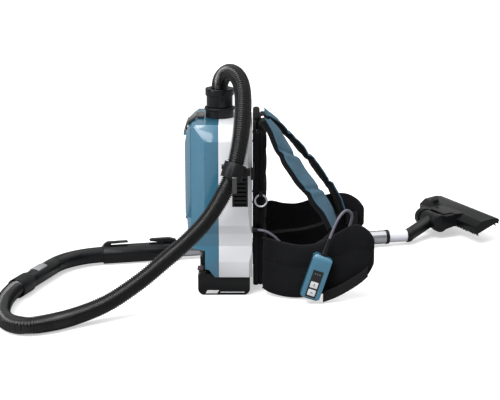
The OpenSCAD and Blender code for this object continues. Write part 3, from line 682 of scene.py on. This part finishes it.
# Webbing that joins each strap to the back cushion. The far strap's root lies lower.
for which, sign, drop in (("near", -1, 0), ("far", 1, 0.005)):
    root = [Vector((0.0765, sign * 0.050, 0.3735)),
            Vector((0.078, sign * 0.050, 0.381 - drop / 2)),
            Vector((0.085, sign * 0.051, 0.387 - drop)),
            Vector((0.093, sign * 0.053, 0.3835 - drop))]
    line = resample(smooth_path(root, 6), 0.003)
    tab = band("strap_root_" + which, line, tilted_frames(line, [0.0]), section(0.050, 0.0042),
               [WEB])

# Hip wings. Stations are (x, y, low z, high z) in mm.
WING_T = 0.018
WINGS = {
    "near": [(85, -105, 18, 132), (102, -121, 12, 132), (135, -137, 8, 128), (170, -143, 8, 124),
             (210, -146, 16, 132), (250, -149, 32, 155), (285, -150, 45, 173),
             (312, -148, 60, 160), (326, -144, 84, 138)],
    "far": [(85, 105, 18, 146), (102, 121, 12, 158), (135, 137, 8, 148), (170, 143, 8, 146),
            (210, 146, 20, 158), (250, 149, 40, 168), (285, 150, 62, 168), (312, 148, 82, 154),
            (326, 144, 98, 136)]}
# Points up each face and round each edge of a wing's ring
WING_SIDE = 15
WING_EDGE = 3
WING_FOLD = 0.0026
WING_FINE_FOLD = 0.0014
# The sewn channel's height, as a share of the wing's, and its depth
CHANNEL_AT = 0.58
CHANNEL_DEPTH = 0.0022


def wing(which, seed):
    """A hip wing's padded skin, the binding round its rim and its channel's stitches."""
    stations = WINGS[which]
    fine = smooth_path([Vector((s[0], s[1], 0)) * MM for s in stations], 8)
    edges = smooth_path([Vector((s[2], s[3], 0)) * MM for s in stations], 8)
    path, edges = resample(fine, 0.006, edges)
    count = len(path)
    rings, outs = [], []
    side_sign = 1 if stations[0][1] < 0 else -1
    for i, p in enumerate(path):
        d = along(path, i)
        out = Vector((d.y, -d.x, 0)) * side_sign
        low, high = edges[i].x, edges[i].y
        part = (i + 0.5) / count
        squeeze = max(0.25, min(1.0, part / 0.05, (1 - part) / 0.06))
        half = WING_T / 2 * 0.70 * squeeze ** 0.5
        ring = []
        for face in (1, -1):
            for k in range(WING_SIDE):
                t = k / (WING_SIDE - 1)
                t = t if face > 0 else 1 - t
                z = low + (high - low) * (0.02 + 0.96 * t)
                fold = noise.noise(Vector((p.x * 17, z * 24, seed + face)))
                fine_fold = noise.noise(Vector((p.x * 50, z * 38, seed * 3 + face)))
                bulge = half * (0.55 + 0.45 * (1 - (2 * t - 1) ** 4))
                bulge += WING_FOLD * fold + WING_FINE_FOLD * fine_fold
                if face > 0 and abs(t - CHANNEL_AT) < 0.03:
                    bulge -= CHANNEL_DEPTH
                ring.append(Vector((p.x, p.y, z)) + out * (face * bulge))
            for k in range(WING_EDGE):
                a = math.pi * (k + 1) / (WING_EDGE + 1)
                z0 = high if face > 0 else low
                ring.append(Vector((p.x, p.y, z0)) + out * (face * half * 0.5 * math.cos(a))
                            + UP * (face * (-0.002 + 0.002 * math.sin(a))))
        rings.append(ring)
        outs.append(out)
    skin = loft("hip_pad_" + which, rings, [PAD_BLACK])
    n = len(rings[0])
    top_mid = WING_SIDE + WING_EDGE // 2
    low_mid = 2 * WING_SIDE + WING_EDGE + WING_EDGE // 2
    middle = round(CHANNEL_AT * (WING_SIDE - 1))
    pins = [i * n + k for i in range(count) for k in (top_mid, low_mid, middle)]
    pins += [i * n + k for i in (0, count - 1) for k in range(n)]
    inflate(skin, pins, pressure=3.0, cap=0.0025)
    co = [v.co.copy() for v in skin.data.vertices]
    finish_soft(skin)
    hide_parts("hip_wing_" + which)
    rim = ([co[i * n + top_mid] for i in range(count)]
           + [co[i * n + low_mid] for i in reversed(range(count))])
    edge = tube("hip_binding_" + which, resample(rim, 0.005), 0.0026, [BINDING], sides=10)
    seam = [co[i * n + middle] + outs[i] * 0.0004 for i in range(2, count - 2)]
    stitches("hip_thread_" + which, seam, outs[2:-2], THREAD)


wing("near", 1.1)
wing("far", 4.6)

# Back cushions: sewn channels in the face, a side wall that reaches back round the frame
PAD_X = (0.0735, 0.0935)
PAD_THICK = PAD_X[1] - PAD_X[0]
PAD_HALF = 0.0945
PAD_HEIGHTS = {"back": (0.153, 0.371), "lumbar": (0.015, 0.147)}
WALL_X = 0.0692
PIPING_X = 0.0775
CUSHION_STEP = 0.006
CUSHION_PTS = 33
END_ROUNDING = 0.016
GROOVE_HALF = 0.008
CHAMFER_HEIGHT = 0.022
CUSHION_LEAST = 0.004


def cushion(name, z0, z1, channels, seed, chamfer=0.0):
    """Upright cushion of rings up its height. channels are the heights of its sewn grooves.

    chamfer is how much thinner it gets towards its top.
    """
    rows = max(12, round((z1 - z0) / CUSHION_STEP))
    across = CUSHION_PTS
    rings = []
    for i in range(rows + 1):
        t = i / rows
        z = z0 + (z1 - z0) * t
        end = min(1.0, (0.08 + min(t, 1 - t) * (z1 - z0) / END_ROUNDING)) ** 0.5
        groove = min([1.0] + [0.35 + abs(z - c) / GROOVE_HALF for c in channels])
        half = PAD_HALF * (0.965 + 0.035 * end)
        ring = []
        for k in range(across):
            y = half * (2 * k / (across - 1) - 1)
            pull = (1 - abs(y / half) ** 5) ** 0.5 if abs(y) < half else 0.0
            deep = PAD_THICK * (0.35 + 0.60 * end * groove * pull)
            deep += 0.0010 * noise.noise(Vector((y * 30, z * 30, seed))) * pull
            cut = chamfer * max(0.0, z - z1 + CHAMFER_HEIGHT) / CHAMFER_HEIGHT
            deep = min(deep, PAD_THICK - cut)
            ring.append(Vector((PAD_X[0] + max(deep, CUSHION_LEAST), y, z)))
        for k in range(1, across - 1, 2):
            y = half * (1 - 2 * k / (across - 1))
            ring.append(Vector((PAD_X[0], y, z)))
        rings.append(ring)
    skin = loft(name, rings, [PAD_BLACK])
    n = len(rings[0])
    pins = []
    for i in range(rows + 1):
        z = z0 + (z1 - z0) * i / rows
        whole = i in (0, rows) or any(abs(z - c) < 0.0035 for c in channels)
        pins += [i * n + k for k in range(n) if whole or k in (0, across - 1) or k >= across]
    inflate(skin, pins, pressure=3.0, cap=0.0022)
    finish_soft(skin)
    return skin


upper = cushion("back_cushion", *PAD_HEIGHTS["back"], (0.205, 0.258, 0.311), 3.0, chamfer=0.014)
cushion("lumbar_cushion", *PAD_HEIGHTS["lumbar"], (0.081,), 5.0)
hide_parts("back_pad")


def pad_wall(name, z0, z1):
    """The cushion's side wall, a strip of padded cloth round its sides and foot."""
    line = [(-0.0905, z1 - 0.004), (-0.0905, z0 + 0.012), (-0.084, z0 + 0.005),
            (0.084, z0 + 0.005), (0.0905, z0 + 0.012), (0.0905, z1 - 0.004)]
    line = resample([Vector((WALL_X, y, z)) for y, z in line], 0.006)
    wall = band(name, line, flat_frames(line, X_AXIS), section(0.0125, 0.0080), [LINING])


def pad_piping(name, z0, z1):
    """Piping round the cushion's face, with its corners cut."""
    y, cut = PAD_HALF - 0.001, 0.006
    loop = [(-y, z0 + cut), (-y, z1 - cut), (-y + cut, z1), (y - cut, z1), (y, z1 - cut),
            (y, z0 + cut), (y - cut, z0), (-y + cut, z0), (-y, z0 + cut)]
    loop = resample([Vector((PIPING_X, y, z)) for y, z in loop], 0.005)
    tube(name, loop, 0.0019, [BINDING], sides=8)


for label, heights in PAD_HEIGHTS.items():
    pad_wall(label + "_wall", *heights)
for label, heights in PAD_HEIGHTS.items():
    pad_piping(label + "_piping", *heights)

# Tab that holds the side ring
tab_line = [(0.080, -0.092, 0.2355), (0.080, -0.0985, 0.2345), (0.080, -0.1035, 0.229),
            (0.080, -0.1005, 0.2235), (0.080, -0.092, 0.2225)]
tab_line = resample(smooth_path(tab_line, 6), 0.0015)
band("ring_tab", tab_line, flat_frames(tab_line, X_AXIS), section(0.009, 0.0018), [WEB])


def dust_bag():
    """A lofted cloth bag with pleated, sagging sides, in its CAD node's box."""
    low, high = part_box("dust_bag")
    mid = (low + high) / 2
    depth, width, height = high - low
    rows, rings = 30, []
    for i in range(rows + 1):
        t = i / rows
        full = 0.80 + 0.14 * math.sin(math.pi * min(1, t * 1.15)) ** 0.6
        if t > 0.82:
            full *= 1 - 0.35 * ((t - 0.82) / 0.18) ** 1.5
        if t < 0.08:
            full *= 0.86 + 0.14 * (t / 0.08) ** 0.5
        ring = []
        for x, y in rounded(width * full, depth * min(0.97, full), 0.016, 8):
            p = Vector((mid.x + x, mid.y + y, low.z + height * t))
            pleat = 0.0028 * math.sin(math.atan2(y, x * 2) * 13) * math.sin(math.pi * t)
            sag = 0.0035 * noise.noise(p * 20)
            out = Vector((x, y, 0)).normalized()
            ring.append(p - out * (0.004 - pleat - sag))
        rings.append(ring)
    bag = loft("dust_bag_cloth", rings, [BAG])
    n = len(rings[0])
    inflate(bag, list(range(n)) + list(range(rows * n, rows * n + n)), pressure=2.0, cap=0.003)
    finish_soft(bag)
    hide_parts("dust_bag")


dust_bag()

# ---------------------------------------------------------------- flat webbing

# Bands are (x, y, z), panels (x, y, low z, high z), as in the CAD
ADJUSTERS = {"near": [(240, -104, 150), (214, -100, 122), (170, -96, 100), (98, -92, 90)],
             "far": [(270, 104, 132), (230, 100, 112), (180, 96, 98), (98, 92, 90)]}
TAIL = [(314, -160, 58, 84), (298, -162, 44, 70), (272, -164, 27, 53), (244, -167, 13, 38),
        (216, -170, 4, 27)]
WEBBING = section(0.025, 0.0022, corner=8, count=11)


def rippled(s, a, o):
    return a, o + 0.0005 * noise.noise(Vector((s * 60, a * 50, 0)))


for which, pts in ADJUSTERS.items():
    line = resample(smooth_path([Vector(p) * MM for p in pts], 8), 0.004)
    band("adjuster_web_" + which, line, tilted_frames(line, [0.0]), WEBBING, [WEB],
                     shape=rippled)
tail_line = [Vector((x, y, (low + high) / 2)) * MM for x, y, low, high in TAIL]
tail_line = resample(smooth_path(tail_line, 8), 0.004)
band("belt_tail", tail_line, flat_frames(tail_line, UP), WEBBING, [WEB])
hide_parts("belt_webbing")

# Strap that carries the hose hook
low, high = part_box("clip_strap")
mid_z = (low.z + high.z) / 2
clip_line = [(0.0645, -0.0955, mid_z), (0.0645, -0.150, mid_z), (0.0635, -0.1575, mid_z),
             (0.0577, -0.1578, mid_z)]
clip_line = resample(smooth_path(clip_line, 6), 0.003)
clip_band = band("clip_webbing", clip_line, flat_frames(clip_line, UP),
                 section(0.028, 0.0026, corner=8, count=11), [WEB])
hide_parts("clip_strap")

# Carry handle: a padded webbing loop over the harness frame
ARCH_FOOT = Vector((0.070, 0, 0.3845))
ARCH_HALF = 0.024
ARCH_RISE = 0.0172
ARCH_STEPS = 30
arch = [math.pi * k / ARCH_STEPS for k in range(ARCH_STEPS + 1)]
arch = resample([ARCH_FOOT + Vector((0, ARCH_HALF * math.cos(a), ARCH_RISE * math.sin(a)))
                 for a in arch], 0.0025)
handle = band("carry_handle", arch, flat_frames(arch, X_AXIS),
              section(0.0156, 0.0118, corner=2.4, count=11), [HANDLE_WEB])
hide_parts("carry_loop")

# ---------------------------------------------------------------- small details


def plate(name, matrix, w, h, t, corner, mat, body, slant=0.0):
    """Rounded plate of width w and height h on the local XZ plane, rising t towards local -Y.

    slant is how far its top is shifted along X against its foot.
    """
    rings = []
    for inset, lift in ((0, 0), (0, 0.6 * t), (0.35 * t, 0.9 * t), (0.8 * t, t)):
        ring = []
        for a, b in rounded(h - 2 * inset, w - 2 * inset, corner - min(inset, corner * 0.8), 5):
            ring.append(matrix @ Vector((a + slant * b / h, -lift, b)))
        rings.append(ring)
    return loft(name, rings, [mat], body)


def at(x, y, z):
    return Matrix.Translation((x, y, z))


# Two plain bars on each pack, in place of the lettering. They sit a little into its face.
BAR_SUNK = 0.0003
for side, turn in (("left", 0), ("right", math.pi)):
    low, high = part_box("battery_" + side)
    face_y = low.y + BAR_SUNK if side == "left" else high.y - BAR_SUNK
    spin = Matrix.Rotation(turn, 4, "Z")
    for label, x0, x1, z0, z1, slant in (("block", 0.019, 0.045, 0.004, 0.0115, 0.004),
                                         ("line", 0.050, 0.104, 0.006, 0.0078, 0.0)):
        mid = at(low.x + (x0 + x1) / 2, face_y, (z0 + z1) / 2)
        bar = plate("pack_%s_%s" % (side, label), mid @ spin, x1 - x0, z1 - z0, 0.0007, 0.0005,
                    LIGHT_BAR, "battery_" + side, slant)

# Lamps and button marks on the hip control, in its tilted frame as in the CAD
REMOTE_AT = (0.200, -0.172, 0.062)
REMOTE_TILT = 18
remote = at(*REMOTE_AT) @ Matrix.Rotation(math.radians(REMOTE_TILT), 4, "Y")
for k in (-1, 0, 1):
    lens = plate("remote_lamp_%d" % (k + 2), remote @ at(k * 0.0052, -0.0133, 0.010),
                 0.0026, 0.0026, 0.0006, 0.0012, LENS, ROOT)
for body, z, w, h in (("power_button", -0.015, 0.0018, 0.0060),
                      ("mode_button", -0.033, 0.0060, 0.0018)):
    mark = plate(body + "_mark", remote @ at(0, -0.0148, z), w, h, 0.0004, 0.0008, SMOKE, body)

# Bristle strips under the floor head, in its own frame, which starts at its barrel
BARREL_AT = (0.522, 0.387, 0.042)
HEAD_TURN = 25.5
HEAD_PITCH = -22
head = (at(*BARREL_AT) @ Matrix.Rotation(math.radians(HEAD_TURN), 4, "Z")
        @ Matrix.Rotation(math.radians(HEAD_PITCH), 4, "Y"))
STRANDS = 3
STRAND_SIDES = 5


def bristles(name, x, y0, y1, z, length, tufts, lean):
    """A strip of tapered tufts hanging from the sole, each of three strands."""
    verts, faces = [], []
    for i in range(tufts):
        for strand in range(STRANDS):
            seed = Vector((i * 3.7, strand * 9.1, x * 100))
            y = y0 + (y1 - y0) * (i + 0.5 + 0.25 * (strand - 1)) / tufts
            dx = 0.0028 * noise.noise(seed) + lean
            dy = 0.0035 * noise.noise(seed * 1.9)
            reach = length * (0.80 + 0.40 * noise.noise(seed * 2.7))
            k = len(verts)
            for r, px, py, pz in ((0.0011, 0, 0, 0), (0.0010, dx * 0.4, dy * 0.4, -reach * 0.5),
                                  (0.0004, dx, dy, -reach)):
                for c in range(STRAND_SIDES):
                    a = 2 * math.pi * c / STRAND_SIDES
                    verts.append(head @ Vector((x + px + r * math.cos(a), y + py + r * math.sin(a),
                                                z + pz)))
            for foot in (k, k + STRAND_SIDES):
                for c in range(STRAND_SIDES):
                    d = (c + 1) % STRAND_SIDES
                    faces.append((foot + c, foot + d, foot + STRAND_SIDES + d,
                                  foot + STRAND_SIDES + c))
            faces.append(tuple(k + 2 * STRAND_SIDES + c for c in range(STRAND_SIDES)))
    strip = add_mesh(name, verts, faces, [BRISTLE], "nozzle_head")


bristles("bristles_front", 0.1105, -0.130, 0.130, -0.030, 0.0095, 74, 0.001)
bristles("bristles_back", 0.0465, -0.130, 0.130, -0.030, 0.0085, 74, -0.001)
bristles("bristles_near", 0.100, -0.131, -0.128, -0.030, 0.0095, 2, 0.001)

# ---------------------------------------------------------------- stage and light

FLOOR_HALF = 24
FLOOR_GLOW = 0.50
WORLD_STRENGTH = 0.36


def floor_white():
    """White paper that throws little light back up at the object."""
    m, nodes, links, shader = material("floor_white", (0.30, 0.30, 0.305), 0.9)
    bright = nodes.new("ShaderNodeBsdfDiffuse")
    bright.inputs["Color"].default_value = (0.62, 0.62, 0.625, 1)
    glow = nodes.new("ShaderNodeEmission")
    glow.inputs["Strength"].default_value = FLOOR_GLOW
    added, chosen = nodes.new("ShaderNodeAddShader"), nodes.new("ShaderNodeMixShader")
    links.new(bright.outputs[0], added.inputs[0])
    links.new(glow.outputs[0], added.inputs[1])
    links.new(nodes.new("ShaderNodeLightPath").outputs["Is Camera Ray"], chosen.inputs["Fac"])
    links.new(shader.outputs[0], chosen.inputs[1])
    links.new(added.outputs[0], chosen.inputs[2])
    links.new(chosen.outputs[0], nodes["Material Output"].inputs["Surface"])
    return m


floor = bpy.data.meshes.new("floor")
floor.from_pydata([(x * FLOOR_HALF, y * FLOOR_HALF, 0)
                   for x, y in ((-1, -1), (1, -1), (1, 1), (-1, 1))], [], [(0, 1, 2, 3)])
floor.materials.append(floor_white())
floor_obj = bpy.data.objects.new("floor", floor)
bpy.context.scene.collection.objects.link(floor_obj)

world = bpy.data.worlds.new("studio")
world.use_nodes = True
background = world.node_tree.nodes["Background"]
background.inputs["Color"].default_value = (1, 1, 1, 1)
background.inputs["Strength"].default_value = WORLD_STRENGTH
bpy.context.scene.world = world


def sun(name, direction, strength, spread):
    data = bpy.data.lights.new(name, "SUN")
    data.energy = strength
    data.angle = math.radians(spread)
    obj = bpy.data.objects.new(name, data)
    obj.rotation_euler = Vector(direction).to_track_quat("-Z", "Y").to_euler()
    bpy.context.scene.collection.objects.link(obj)


def area_light(name, place, target, size, power):
    data = bpy.data.lights.new(name, "AREA")
    data.shape = "RECTANGLE"
    data.size, data.size_y = size
    data.energy = power
    obj = bpy.data.objects.new(name, data)
    obj.location = place
    obj.rotation_euler = (Vector(target) - Vector(place)).to_track_quat("-Z", "Y").to_euler()
    bpy.context.scene.collection.objects.link(obj)


sun("key_sun", (0.45, 0.55, -0.95), 3.2, 35)
sun("top_sun", (-0.25, -0.15, -1.0), 1.5, 80)
area_light("front_high", (-0.35, -2.2, 1.85), (0, 0, 0.3), (1.1, 0.6), 14)
area_light("side_left", (-2.2, -1.2, 1.3), (0, 0, 0.2), (0.5, 1.6), 26)

view = bpy.context.scene.view_settings
view.view_transform = "Standard"
view.look = "None"
view.exposure = 0.0
